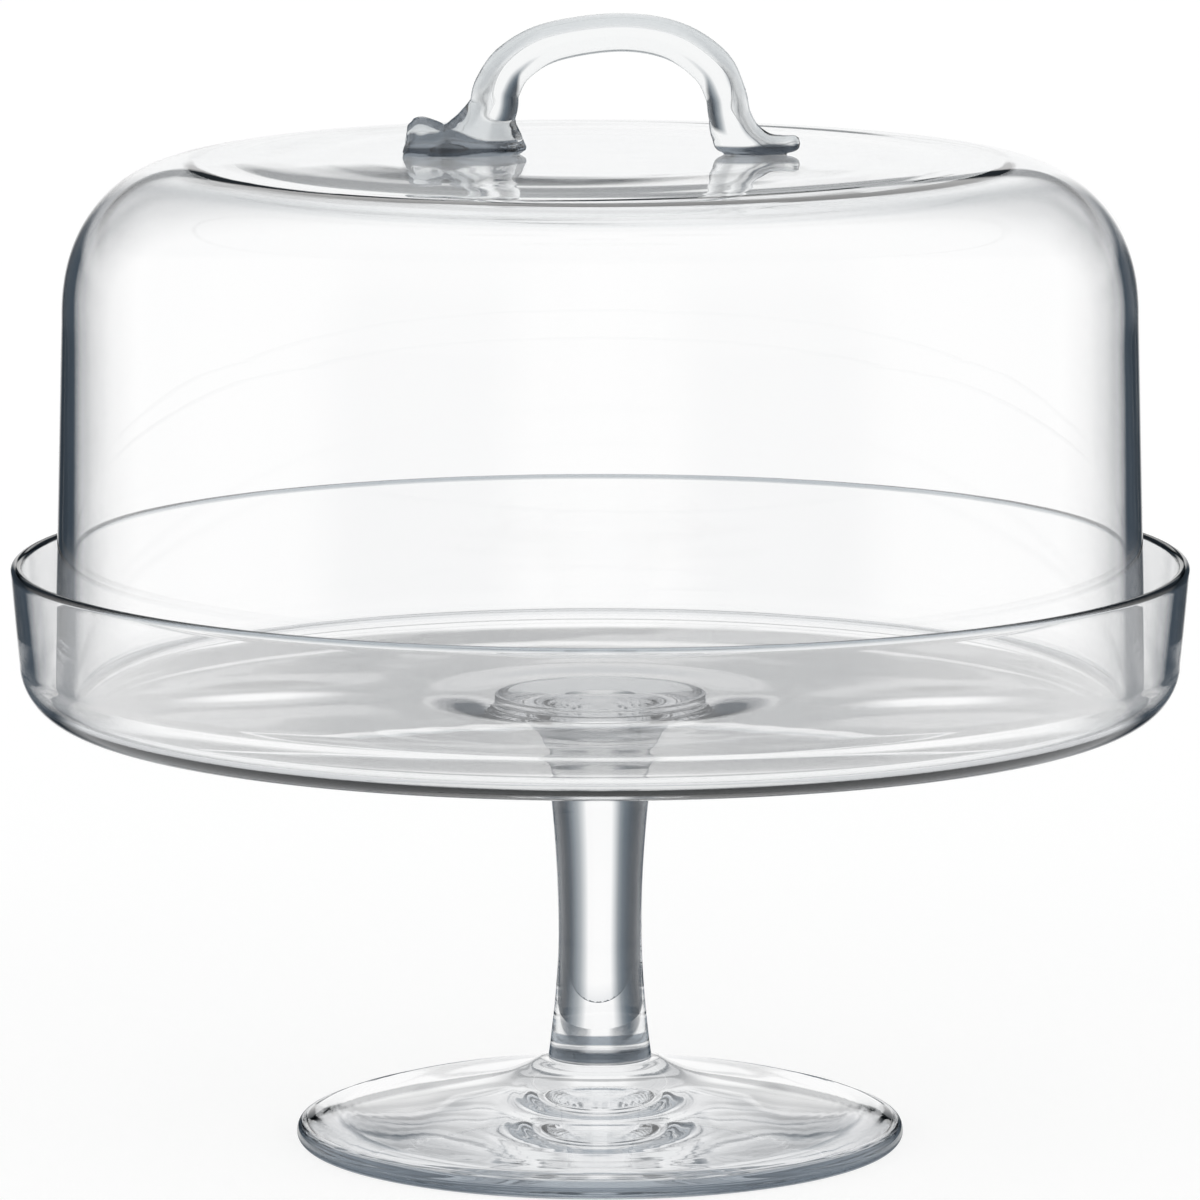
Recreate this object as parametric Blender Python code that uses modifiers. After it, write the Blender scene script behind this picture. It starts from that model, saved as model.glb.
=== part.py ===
"""Clear glass cake stand with a lift-off dome.

Five pieces of hand-worked glass: a footed stand made of foot, stem and tray,
and a dome made of a blown shell and an applied loop handle.
Metres, +Z up, the foot rests on z = 0 and the turning axis is the Z axis.
"""
import math

import bmesh
import bpy
import numpy as np
from mathutils import Matrix, Vector

MM = 0.001
GAP = 0.3 * MM                  # clearance between two pieces that touch

# Foot: a shallow cone with a rounded edge and a hollow underside.
FOOT_R = 77.8 * MM
FOOT_EDGE_H = 5.6 * MM          # height of the rounded edge
FOOT_H = 21.5 * MM              # height of the seat under the stem
FOOT_SEAT_R = 15.0 * MM
FOOT_RING_IN_R = 66.0 * MM      # inner radius of the ring it stands on
FOOT_HOLLOW_H = 6.0 * MM        # depth of the hollow under the middle

# Stem: a solid drawn rod, waisted, with a trumpet under the tray.
STEM_BASE_R = 13.2 * MM
STEM_WAIST_R = 10.7 * MM
STEM_NECK_R = 12.4 * MM         # where the trumpet starts
STEM_FLARE_R = 27.0 * MM        # lip of the trumpet
STEM_LIP_H = 1.2 * MM
STEM_LEN = 88.2 * MM
STEM_NECK_DROP = 22.0 * MM      # height of the trumpet

# Tray: a flat round dish with an upright wall and a fire-polished rim.
TRAY_R = 150.0 * MM             # over the rim
TRAY_LEAN = 2.2 * MM            # how far the wall draws in from rim to corner
TRAY_H = 39.7 * MM              # underside to the top of the rim
TRAY_FLOOR_T = 4.0 * MM
TRAY_WALL_T = 3.4 * MM
TRAY_RIM_T = 3.0 * MM
TRAY_CORNER_R = 14.5 * MM       # outer bottom corner
TRAY_FILLET_R = 9.0 * MM        # inner bottom corner
TRAY_SAG = 0.5 * MM             # the underside is this much lower at the stem
TRAY_FOOT_R = TRAY_R - TRAY_LEAN
TRAY_INNER_R = TRAY_FOOT_R - TRAY_WALL_T

# Dome: a blown shell with a flat top and a wide round shoulder.
DOME_CLEAR = 5.4 * MM           # dome foot to the inside of the tray wall
DOME_LEAN = 2.5 * MM            # how far the side draws in going up
DOME_SHOULDER_W = 42.0 * MM
DOME_H = 138.7 * MM
DOME_SHOULDER_H = 41.3 * MM
DOME_SHOULDER_POWER = 2.3       # 2 is a quarter ellipse, more is squarer
DOME_BASE_T = 4.4 * MM
DOME_SIDE_T = 3.2 * MM
DOME_TOP_T = 3.5 * MM
DOME_BASE_R = TRAY_INNER_R - DOME_CLEAR
DOME_SIDE_R = DOME_BASE_R - DOME_LEAN
DOME_FLAT_R = DOME_SIDE_R - DOME_SHOULDER_W

# Handle: one solid rod bent into a loop, with a thick pad on one side and
# a drawn-out tail on the other. Places are from the dome axis and its top.
HANDLE_PATH = (                 # across, up, rod radius, all in millimetres
    (-48.0, 4.8, 1.4),
    (-47.4, 4.9, 3.5),
    (-46.0, 4.8, 4.8),
    (-43.0, 3.9, 4.9),
    (-39.5, 3.0, 4.6),
    (-35.5, 3.7, 5.5),
    (-31.0, 6.4, 6.2),
    (-27.2, 11.2, 6.2),
    (-26.0, 16.6, 5.9),
    (-21.8, 23.0, 5.5),
    (-12.4, 28.3, 5.1),
    (4.5, 30.8, 4.9),
    (18.2, 28.8, 5.0),
    (27.8, 22.6, 5.3),
    (31.6, 15.5, 5.2),
    (33.0, 9.2, 5.3),
    (36.4, 4.8, 4.6),
    (41.6, 2.6, 3.1),
    (46.2, 2.7, 2.1),
    (49.4, 3.3, 1.5),
    (50.4, 3.6, 0.6),
)
PAD_MIDDLE = -34.0 * MM         # the pad spreads about this place
PAD_H = 9.0 * MM                # height over which it spreads
PAD_LONG_RATIO = 0.22           # share added to its length at the dome
PAD_WIDE_RATIO = 0.7            # share added to its width at the dome

# How finely the shapes are cut into facets.
ROUND_STEPS = 64
STEM_STEPS = 36
ARC_STEPS = 8
HANDLE_STEPS = 3                # path points between two given places
HANDLE_SIDES = 4                # bevel resolution of the rod

# Heights of the pieces, one resting on the other.
STEM_Z = FOOT_H + GAP
TRAY_Z = STEM_Z + STEM_LEN + GAP + TRAY_SAG
FLOOR_Z = TRAY_Z + TRAY_FLOOR_T
DOME_Z = FLOOR_Z + GAP
DOME_TOP_Z = DOME_Z + DOME_H
HANDLE_Z = DOME_TOP_Z + GAP


def clear_scene():
    """Remove every object that is already there."""
    for obj in list(bpy.data.objects):
        bpy.data.objects.remove(obj, do_unlink=True)


def collection(name):
    """Return a new collection linked to the scene."""
    col = bpy.data.collections.new(name)
    bpy.context.scene.collection.children.link(col)
    return col


def glass(name, tint):
    """Return a clear glass material with a slight tint."""
    mat = bpy.data.materials.new(name)
    mat.use_nodes = True
    shader = mat.node_tree.nodes["Principled BSDF"]
    shader.inputs["Base Color"].default_value = (*tint, 1.0)
    shader.inputs["Roughness"].default_value = 0.02
    shader.inputs["IOR"].default_value = 1.52
    shader.inputs["Transmission Weight"].default_value = 1.0
    return mat


def arc(centre_r, centre_z, radius, start, end, steps=ARC_STEPS):
    """Points of a circular arc in the profile plane, angles in degrees."""
    turns = np.radians(np.linspace(start, end, steps + 1))
    return [(centre_r + radius * math.cos(t), centre_z + radius * math.sin(t)) for t in turns]


def ease(ends, steps, power):
    """Points from one place to another, the radius eased by a power of the height."""
    (r0, z0), (r1, z1) = ends
    parts = np.linspace(0.0, 1.0, steps + 1)
    return [(r0 + (r1 - r0) * t ** power, z0 + (z1 - z0) * t) for t in parts]


def shoulder(flat_r, top_z, side_r, side_z, steps=2 * ARC_STEPS):
    """Superellipse quarter from the flat top down to the side."""
    turns = np.linspace(0.0, math.pi / 2, steps + 1)
    power = 2.0 / DOME_SHOULDER_POWER
    out = []
    for t in turns:
        across = abs(math.sin(t)) ** power
        up = abs(math.cos(t)) ** power
        out.append((flat_r + (side_r - flat_r) * across, side_z + (top_z - side_z) * up))
    return out


def turned(name, profile, origin_z, steps, col, mat):
    """Turn a profile about the Z axis. It starts and ends on the axis."""
    points = [profile[0]]
    for p in profile[1:]:
        if math.dist(p, points[-1]) > 0.02 * MM:
            points.append(p)
    mesh = bpy.data.meshes.new(name)
    verts = [(max(r, 0.0), 0.0, z - origin_z) for r, z in points]
    edges = [(i, i + 1) for i in range(len(verts) - 1)]
    mesh.from_pydata(verts, edges, [])
    obj = bpy.data.objects.new(name, mesh)
    obj.location = (0.0, 0.0, origin_z)
    col.objects.link(obj)
    screw = obj.modifiers.new("turn", "SCREW")
    screw.axis = "Z"
    screw.angle = 2.0 * math.pi
    screw.steps = steps
    screw.render_steps = steps
    screw.use_merge_vertices = True
    screw.merge_threshold = 0.00001
    screw.use_smooth_shade = True
    obj.data.materials.append(mat)
    return obj


def foot_profile():
    """Seat, long cone, rounded edge, standing ring and hollow underside."""
    edge = FOOT_EDGE_H / 2
    round_w = 0.9 * edge
    # share of the way out, share of the height above the edge
    cone = (
        (0.08, 0.84), (0.19, 0.70), (0.42, 0.54), (0.61, 0.415), (0.77, 0.285), (0.88, 0.17), (0.95, 0.09),
    )
    seat = [(0.0, FOOT_H), (FOOT_SEAT_R, FOOT_H)]
    out_r = FOOT_R - round_w
    rise = FOOT_H - FOOT_EDGE_H
    top = [(FOOT_SEAT_R + (out_r - FOOT_SEAT_R) * s, FOOT_EDGE_H + rise * h) for s, h in cone]
    turns = np.radians(np.linspace(90.0, -90.0, ARC_STEPS + 1))
    rim = [(out_r + round_w * math.cos(t), edge + edge * math.sin(t)) for t in turns]
    hollow = [(FOOT_RING_IN_R * (1 - s), FOOT_HOLLOW_H * (1 - (1 - s) ** 2)) for s in np.linspace(0, 1, 6)]
    return seat + top + rim + hollow


def stem_profile():
    """Trumpet lip under the tray, neck, waist and base on the foot."""
    top = STEM_Z + STEM_LEN
    neck = top - STEM_NECK_DROP
    waist = STEM_Z + 0.48 * (neck - STEM_Z)
    lip = [(0.0, top), (STEM_FLARE_R, top), (STEM_FLARE_R, top - STEM_LIP_H)]
    down = np.linspace(0.0, 1.0, ARC_STEPS + 1)
    flare = [
        (STEM_NECK_R + (STEM_FLARE_R - STEM_NECK_R) * (1 - t) ** 3, top - STEM_LIP_H
         - (STEM_NECK_DROP - STEM_LIP_H) * t)
        for t in down
    ]
    upper = [
        (STEM_WAIST_R + (STEM_NECK_R - STEM_WAIST_R) * (1 - t) ** 2, neck + (waist - neck) * t)
        for t in np.linspace(0.0, 1.0, 5)
    ]
    lower = ease(((STEM_WAIST_R, waist), (STEM_BASE_R, STEM_Z)), 6, 1.8)
    return lip + flare + upper + lower + [(0.0, STEM_Z)]


def tray_profile():
    """Floor, inner corner, wall, rounded rim, outer corner and underside."""
    rim = TRAY_RIM_T / 2
    rim_z = TRAY_Z + TRAY_H - rim
    floor = [(0.0, FLOOR_Z), (0.5 * DOME_BASE_R, FLOOR_Z)]
    fillet = arc(TRAY_INNER_R - TRAY_FILLET_R, FLOOR_Z + TRAY_FILLET_R, TRAY_FILLET_R, -90.0, 0.0)
    bead = arc(TRAY_R - rim, rim_z, rim, 180.0, 0.0)
    corner = arc(TRAY_FOOT_R - TRAY_CORNER_R, TRAY_Z + TRAY_CORNER_R, TRAY_CORNER_R, 0.0, -90.0)
    under = [(STEM_FLARE_R, TRAY_Z - TRAY_SAG), (0.0, TRAY_Z - TRAY_SAG)]
    return floor + fillet + bead + corner + under


def dome_profile():
    """Flat top, shoulder and side outside, round lip, then the inside back up."""
    side_z = DOME_TOP_Z - DOME_SHOULDER_H
    lip = DOME_BASE_T / 2
    under_z = DOME_TOP_Z - DOME_TOP_T
    top = [(0.0, DOME_TOP_Z), (0.5 * DOME_FLAT_R, DOME_TOP_Z)]
    out = shoulder(DOME_FLAT_R, DOME_TOP_Z, DOME_SIDE_R, side_z)
    base = arc(DOME_BASE_R - lip, DOME_Z + lip, lip, 0.0, -180.0)
    back = shoulder(DOME_FLAT_R, under_z, DOME_SIDE_R - DOME_SIDE_T, side_z)
    inside = back[::-1] + [(0.5 * DOME_FLAT_R, under_z), (0.0, under_z)]
    return top + out + base + inside


def smooth_path(rows, steps):
    """Points on a smooth curve through the given rows (Catmull-Rom)."""
    pts = np.array(rows)
    pts = np.vstack([2 * pts[0] - pts[1], pts, 2 * pts[-1] - pts[-2]])
    out = []
    for i in range(1, len(pts) - 2):
        a, b, c, d = pts[i - 1:i + 3]
        for t in np.linspace(0.0, 1.0, steps, endpoint=False):
            out.append(0.5 * (2 * b + (c - a) * t + (2 * a - 5 * b + 4 * c - d) * t ** 2
                              + (3 * b - a - 3 * c + d) * t ** 3))
    out.append(pts[-2])
    return np.array(out)


def handle_rod(name, col):
    """Sweep the rod along its path and return it as a closed mesh object."""
    path = smooth_path(HANDLE_PATH, HANDLE_STEPS)
    data = bpy.data.curves.new(name, "CURVE")
    data.dimensions = "3D"
    data.bevel_depth = MM
    data.bevel_resolution = HANDLE_SIDES
    data.use_fill_caps = True
    line = data.splines.new("POLY")
    line.points.add(len(path) - 1)
    for point, (across, up, radius) in zip(line.points, path):
        point.co = (across * MM, 0.0, up * MM, 1.0)
        point.radius = radius
    curve = bpy.data.objects.new(name + "_path", data)
    col.objects.link(curve)
    graph = bpy.context.evaluated_depsgraph_get()
    mesh = bpy.data.meshes.new_from_object(curve.evaluated_get(graph))
    bpy.data.objects.remove(curve, do_unlink=True)
    shape = bmesh.new()
    shape.from_mesh(mesh)
    bmesh.ops.remove_doubles(shape, verts=shape.verts, dist=0.01 * MM)
    bmesh.ops.recalc_face_normals(shape, faces=shape.faces)
    shape.to_mesh(mesh)
    shape.free()
    spread_pad(mesh)
    mesh.name = name
    mesh.materials.clear()
    obj = bpy.data.objects.new(name, mesh)
    obj.location = (0.0, 0.0, DOME_TOP_Z)
    col.objects.link(obj)
    return obj


def spread_pad(mesh):
    """Widen the pad towards the dome, as hot glass spreads when it is pressed on."""
    places = np.empty(3 * len(mesh.vertices))
    mesh.vertices.foreach_get("co", places)
    x, y, z = places.reshape(-1, 3).T.copy()
    down = np.clip(1.0 - z / PAD_H, 0.0, 1.0) ** 1.5 * (x < 0.0)
    x = x + PAD_LONG_RATIO * down * (x - PAD_MIDDLE)
    y = y * (1.0 + PAD_WIDE_RATIO * down)
    mesh.vertices.foreach_set("co", np.stack([x, y, z], axis=1).ravel())


def seat_cutter(name, col):
    """Box that cuts the handle's feet flat just above the dome top."""
    reach = max(abs(across) + radius for across, up, radius in HANDLE_PATH) * MM
    thick = max(radius for across, up, radius in HANDLE_PATH) * MM
    size = Vector((2.5 * reach, 4.0 * thick, 4.0 * thick))
    mesh = bpy.data.meshes.new(name)
    shape = bmesh.new()
    bmesh.ops.create_cube(shape, size=1.0, matrix=Matrix.Diagonal((*size, 1.0)))
    shape.to_mesh(mesh)
    shape.free()
    obj = bpy.data.objects.new(name, mesh)
    obj.location = (0.0, 0.0, HANDLE_Z - size.z / 2)
    obj.hide_render = True
    obj.display_type = "WIRE"
    col.objects.link(obj)
    return obj


def soften(obj, degrees=35.0):
    """Shade smooth, with sharp edges where the faces turn by more than the angle."""
    for poly in obj.data.polygons:
        poly.use_smooth = True
    obj.data.set_sharp_from_angle(angle=math.radians(degrees))


def build():
    """Make the five pieces and hang the handle on the dome."""
    clear_scene()
    parts = collection("cake_stand_dome")
    cutters = collection("cutters")
    stand_glass = glass("clear_stand_glass", (0.96, 0.985, 0.98))
    dome_glass = glass("clear_dome_glass", (0.97, 0.985, 0.985))
    turned("foot", foot_profile(), 0.0, ROUND_STEPS, parts, stand_glass)
    turned("stem", stem_profile(), STEM_Z, STEM_STEPS, parts, stand_glass)
    turned("tray", tray_profile(), TRAY_Z, ROUND_STEPS, parts, stand_glass)
    dome = turned("dome_shell", dome_profile(), DOME_Z, ROUND_STEPS, parts, dome_glass)
    handle = handle_rod("dome_handle", parts)
    handle.data.materials.append(dome_glass)
    soften(handle)
    cut = handle.modifiers.new("flat_feet", "BOOLEAN")
    cut.operation = "DIFFERENCE"
    cut.solver = "EXACT"
    cut.object = seat_cutter("handle_seat", cutters)
    bpy.context.view_layer.update()
    handle.parent = dome
    handle.matrix_parent_inverse = dome.matrix_world.inverted()


build()
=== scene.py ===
# %% [markdown]
# # Clear glass cake stand with a dome
# The object is made of glass alone: a foot, a stem and a tray fused into a
# stand, and a blown dome with a loop handle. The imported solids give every
# size and place. Glass shows the facets of a coarse solid at once, so each
# solid is replaced here by a fine surface of the same form, with the slight
# unevenness of glass that was turned and pulled by hand.

# %% Load the frame
import math

import bpy
import numpy as np
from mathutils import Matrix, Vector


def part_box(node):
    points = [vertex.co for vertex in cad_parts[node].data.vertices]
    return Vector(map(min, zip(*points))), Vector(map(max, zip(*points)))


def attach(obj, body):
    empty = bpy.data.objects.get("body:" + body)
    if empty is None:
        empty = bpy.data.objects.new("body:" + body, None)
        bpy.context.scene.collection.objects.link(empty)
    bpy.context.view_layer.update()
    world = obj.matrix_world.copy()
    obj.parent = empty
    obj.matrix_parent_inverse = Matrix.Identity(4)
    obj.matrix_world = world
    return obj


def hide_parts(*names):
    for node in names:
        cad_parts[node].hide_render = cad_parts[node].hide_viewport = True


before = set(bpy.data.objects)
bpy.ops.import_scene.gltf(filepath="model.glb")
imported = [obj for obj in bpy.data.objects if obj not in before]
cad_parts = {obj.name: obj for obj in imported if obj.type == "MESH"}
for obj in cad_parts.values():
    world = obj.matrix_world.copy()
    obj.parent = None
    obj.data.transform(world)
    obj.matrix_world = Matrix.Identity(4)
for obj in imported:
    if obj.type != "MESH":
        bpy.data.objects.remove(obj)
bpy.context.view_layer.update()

MM = 0.001
scene = bpy.context.scene
scene.view_settings.view_transform = "Standard"
print("nodes:", ", ".join(sorted(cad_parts)))


# %% [markdown]
# ## Sizes from the solids
# Each turned piece is told by its radius, its lowest and its highest point.
# Wall thicknesses and corner radii can't be read from a box, so they are
# named here once, in millimetres, as the solids have them.

# %% Measure the turned nodes
def turned_size(node):
    """Radius, lowest and highest point of a turned node, from its box."""
    low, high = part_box(node)
    return (high[0] - low[0]) / 2, low[2], high[2]


foot_r, foot_z0, foot_z1 = turned_size("foot")
stem_r, stem_z0, stem_z1 = turned_size("stem")
tray_r, tray_z0, tray_z1 = turned_size("tray")
dome_r, dome_z0, dome_z1 = turned_size("dome_shell")
for name, low, high in (("foot", foot_z0, foot_z1), ("stem", stem_z0, stem_z1),
                        ("tray", tray_z0, tray_z1), ("dome", dome_z0, dome_z1)):
    print(f"{name}: z {low / MM:.1f} to {high / MM:.1f} mm")

FUSED = 0.5 * MM                # fused pieces run this far into each other
CLOSE = 0.01 * MM               # points nearer than this count as one


# %% [markdown]
# ## Turned glass
# Foot, stem, tray and dome are all round. A lathe is the natural tool: a
# profile of radius and height, carried round the axis. Blender has a Screw
# modifier for this, but here the rings also wander a little, as hand-turned
# glass does, so the grid is worked out directly with numpy.

# %% Profile helpers
def arc(centre, radius, start, end, count=14):
    """Points centre + radius * (cos a, sin a), with a from start to end in degrees."""
    a = np.radians(np.linspace(start, end, count))
    return np.c_[centre[0] + radius * np.cos(a), centre[1] + radius * np.sin(a)]


def line(start, end, count):
    """Evenly spaced points on the straight line from start to end."""
    return np.linspace(start, end, count)


def through(points, count):
    """Smooth curve through a few points: a Catmull-Rom spline, sampled evenly."""
    p = np.asarray(points, float)
    p = np.vstack([2 * p[0] - p[1], p, 2 * p[-1] - p[-2]])
    at = np.linspace(0, len(p) - 3 - 1e-9, count)
    i = at.astype(int)
    t = (at - i)[:, None]
    a, b, c, d = p[i], p[i + 1], p[i + 2], p[i + 3]
    return 0.5 * (2 * b + (c - a) * t + (2 * a - 5 * b + 4 * c - d) * t**2
                  + (3 * b - a - 3 * c + d) * t**3)


def way(value, start, end):
    """How far a value is on its way from start to end, between 0 and 1."""
    return np.clip((value - start) / (end - start), 0, 1)


def soft(s):
    """Smooth step s^2 (3 - 2 s)."""
    return s**2 * (3 - 2 * s)


def profile_of(*stretches):
    """One profile from several stretches, without doubled points."""
    p = np.vstack(stretches)
    step = np.linalg.norm(np.diff(p, axis=0), axis=1)
    return p[np.r_[True, step > CLOSE]]


# %% Lathe helpers
def grid_faces(rows, around):
    """Quads between neighbouring rings, with the ring closed on itself."""
    i, j = np.meshgrid(np.arange(rows - 1), np.arange(around), indexing="ij")
    k = (j + 1) % around
    quads = np.stack([i * around + j, (i + 1) * around + j,
                      (i + 1) * around + k, i * around + k], axis=-1)
    return quads.reshape(-1, 4)


def closed_tube(name, rings, start, end):
    """Mesh object from rings of points, closed by one point at each end."""
    rows, around = rings.shape[:2]
    verts = np.vstack([rings.reshape(-1, 3), start, end])
    first, last = rows * around, rows * around + 1
    j = np.arange(around)
    k = (j + 1) % around
    base = (rows - 1) * around
    caps = np.vstack([np.c_[np.full(around, first), j, k],
                      np.c_[np.full(around, last), base + k, base + j]])
    mesh = bpy.data.meshes.new(name)
    mesh.from_pydata(verts.tolist(), [], grid_faces(rows, around).tolist() + caps.tolist())
    mesh.update()
    mesh.shade_smooth()
    mesh.calc_loop_triangles()
    obj = bpy.data.objects.new(name, mesh)
    scene.collection.objects.link(obj)
    print(f"{name}: {len(mesh.vertices)} points, {len(mesh.loop_triangles)} triangles")
    return obj


def waves(turn, along, orders, phase):
    """Sum over orders k of cos(k * turn + phase * k^2 + along * k) / k, scaled to about one."""
    total = sum(np.cos(k * turn + phase * k * k + along * k) / k for k in orders)
    return total / sum(1 / k for k in orders)


def ripples(r, middle, width, spacing, height, bend):
    """Rings height * sin(2 pi (r / spacing + bend)), fading by exp(-((r - middle) / width)^2)."""
    return height * np.exp(-((r - middle) / width) ** 2) * np.sin(2 * math.pi * (r / spacing + bend))


def turned_glass(name, profile, around, uneven):
    """Carry a profile (radius, height) round the Z axis.

    A point is (r cos t, r sin t, z) for the turn t. The function uneven gives
    small changes of r and z for every r, z, t and place along the profile.
    """
    turn = np.linspace(0, 2 * math.pi, around, endpoint=False)[None, :]
    r = profile[1:-1, 0][:, None]
    z = profile[1:-1, 1][:, None]
    along = np.linspace(0, 1, len(r))[:, None]
    dr, dz = uneven(r, z, turn, along)
    r, z = r + dr, z + dz
    rings = np.stack([r * np.cos(turn), r * np.sin(turn), z + 0 * turn], axis=-1)
    start = (0, 0, rings[0, :, 2].mean())
    end = (0, 0, rings[-1, :, 2].mean())
    return closed_tube(name, rings, start, end)


# %% [markdown]
# ## Foot
# A spun disc of glass: a shallow cone with a soft edge, hollow below so that
# it stands on a ring. Round the stem the tool left a few fine steps, and fine
# rings run round the outer third. They are hundredths of a millimetre high, but
# clear glass shows them, so they are in the shape and not only in the finish.

# %% Foot
FOOT_EDGE_H = 5.6 * MM
FOOT_SEAT_R = 15.0 * MM
FOOT_RING_IN_R = 66.0 * MM
FOOT_HOLLOW_H = 6.0 * MM
FOOT_ROUND = 0.9                # width of the rounded edge against its half height
FOOT_STEPS = (18 * MM, 4 * MM, 4.6 * MM, 0.03 * MM)     # middle, width, spacing, height
FOOT_RINGS = (64 * MM, 8 * MM, 2.1 * MM, 0.008 * MM)
FOOT_DISH = 0.01 * MM           # wander of the hollow
FOOT_TOP = 0.98 * FOOT_EDGE_H   # a point above this is on the top side
FOOT_CONE = (                   # share of the way out, share of the height
    (0, 1), (0.08, 0.84), (0.19, 0.70), (0.42, 0.54), (0.61, 0.415), (0.77, 0.285),
    (0.88, 0.17), (0.95, 0.09), (1, 0),
)


def foot_profile():
    """Seat, cone, half-round edge, standing ring and a hollow that follows 1 - s^2."""
    edge = FOOT_EDGE_H / 2
    round_w = FOOT_ROUND * edge
    out_r = foot_r - round_w
    share = np.array(FOOT_CONE)
    cone = np.c_[FOOT_SEAT_R + (out_r - FOOT_SEAT_R) * share[:, 0],
                 FOOT_EDGE_H + (foot_z1 - FOOT_EDGE_H) * share[:, 1]]
    rim = arc((0, 0), 1, 90, -90, 20) * (round_w, edge) + (out_r, edge)
    s = np.linspace(1, 0, 40)
    hollow = np.c_[FOOT_RING_IN_R * s, FOOT_HOLLOW_H * (1 - s**2)]
    seat = line((0, foot_z1), (FOOT_SEAT_R, foot_z1), 8)
    return profile_of(seat, through(cone, 90), rim, hollow)


def foot_uneven(r, z, turn, along):
    """Steps round the stem and fine rings near the edge on the top side, a wander in the hollow."""
    top = z > FOOT_TOP
    bend = waves(turn, 3 * along, (1, 2, 3), 0.7)
    steps = ripples(r, *FOOT_STEPS, 0.25 * bend)
    rings = ripples(r, *FOOT_RINGS, 0.4 * bend)
    under = ~top & (r < FOOT_RING_IN_R)
    dish = FOOT_DISH * waves(turn, 9 * along, (2, 3, 5), 1.3)
    return 0 * turn, np.where(top, steps + rings, np.where(under, dish, 0))


glass_foot = turned_glass("glass_foot", foot_profile(), 256, foot_uneven)


# %% [markdown]
# ## Stem
# A solid rod drawn out of hot glass: thick at the base, waisted below the
# middle, and spread like a trumpet under the tray. It acts as a strong lens.

# %% Stem
STEM_BASE_R = 13.2 * MM
STEM_WAIST_R = 10.7 * MM
STEM_NECK_R = 12.4 * MM
STEM_LIP_H = 1.2 * MM
STEM_NECK_DROP = 22.0 * MM
STEM_WAIST_AT = 0.48            # of the way from the base to the neck
STEM_BASE_POWER = 1.8           # how the base widens below the waist
STEM_WANDER = 0.08 * MM
STEM_STILL = (6 * MM, 12 * MM)  # the wander grows over these heights from base and top
STEM_CORE_R = 5 * MM            # none on the end caps inside this radius


def stem_profile():
    """Trumpet by the cube of the way down, a square to the waist, then a power to the base."""
    top, base = stem_z1 + FUSED, stem_z0 - FUSED
    neck = stem_z1 - STEM_NECK_DROP
    waist = stem_z0 + STEM_WAIST_AT * (neck - stem_z0)
    t = np.linspace(0, 1, 40)
    lip_z = stem_z1 - STEM_LIP_H
    widths = (STEM_NECK_R + (stem_r - STEM_NECK_R) * (1 - t) ** 3,
              STEM_WAIST_R + (STEM_NECK_R - STEM_WAIST_R) * (1 - t) ** 2,
              STEM_WAIST_R + (STEM_BASE_R - STEM_WAIST_R) * t**STEM_BASE_POWER)
    flare = np.c_[widths[0], lip_z + (neck - lip_z) * t]
    upper = np.c_[widths[1], neck + (waist - neck) * t]
    lower = np.c_[widths[2], waist + (stem_z0 - waist) * t]
    head = np.vstack([line((0, top), (stem_r, top), 10), line((stem_r, top), (stem_r, lip_z), 6)])
    side = line((STEM_BASE_R, stem_z0), (STEM_BASE_R, base), 3)
    tail = np.vstack([side, line((STEM_BASE_R, base), (0, base), 8)])
    return profile_of(head, flare, upper, lower, tail)


def stem_uneven(r, z, turn, along):
    """A faint wander of the drawn rod, none at its fused ends."""
    free = way(z, stem_z0, stem_z0 + STEM_STILL[0]) * way(z, stem_z1, stem_z1 - STEM_STILL[1])
    return STEM_WANDER * free * waves(turn, 5 * along, (2, 3), 0.9) * (r > STEM_CORE_R), 0 * turn


glass_stem = turned_glass("glass_stem", stem_profile(), 160, stem_uneven)


# %% [markdown]
# ## Tray
# A flat dish with an upright wall, its rim melted round in the flame. The
# floor was spun, so it keeps faint turning rings and dips in two long tongues,
# which show as pale streaks at a low angle. Below, the floor swells a little
# towards the stem, where the gather was set on.

# %% Tray
TRAY_LEAN = 2.2 * MM
TRAY_FLOOR_T = 4.0 * MM
TRAY_WALL_T = 3.4 * MM
TRAY_RIM_T = 3.0 * MM
TRAY_CORNER_R = 14.5 * MM
TRAY_FILLET_R = 9.0 * MM
TRAY_SAG = 0.5 * MM
TRAY_GATHER_R = 48.0 * MM       # the underside swells towards the stem from here
TRAY_TONGUES = ((-88 * MM, -8 * MM), (86 * MM, -14 * MM))     # where the floor tilts most
TRAY_TONGUE_SIZE = (26 * MM, 17 * MM)
TRAY_TONGUE_SKEW = 0.25
TRAY_TONGUE_SLOPE = 0.014
TRAY_RINGS = (0, 70 * MM, 9 * MM, 0.002 * MM)   # middle, width, spacing, height
TRAY_WANDER = 0.03 * MM         # of the floor, of the underside and of the rim
TRAY_UNDER_WANDER = 0.02 * MM
TRAY_RIM_WANDER = 0.35 * MM
TRAY_UPPER_HALF = 0.45          # the profile's first part, which holds the floor
tray_under = tray_z0 + TRAY_SAG
tray_floor = tray_under + TRAY_FLOOR_T
tray_corner_r = tray_r - TRAY_LEAN
tray_flat_r = tray_corner_r - TRAY_WALL_T - TRAY_FILLET_R


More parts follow.
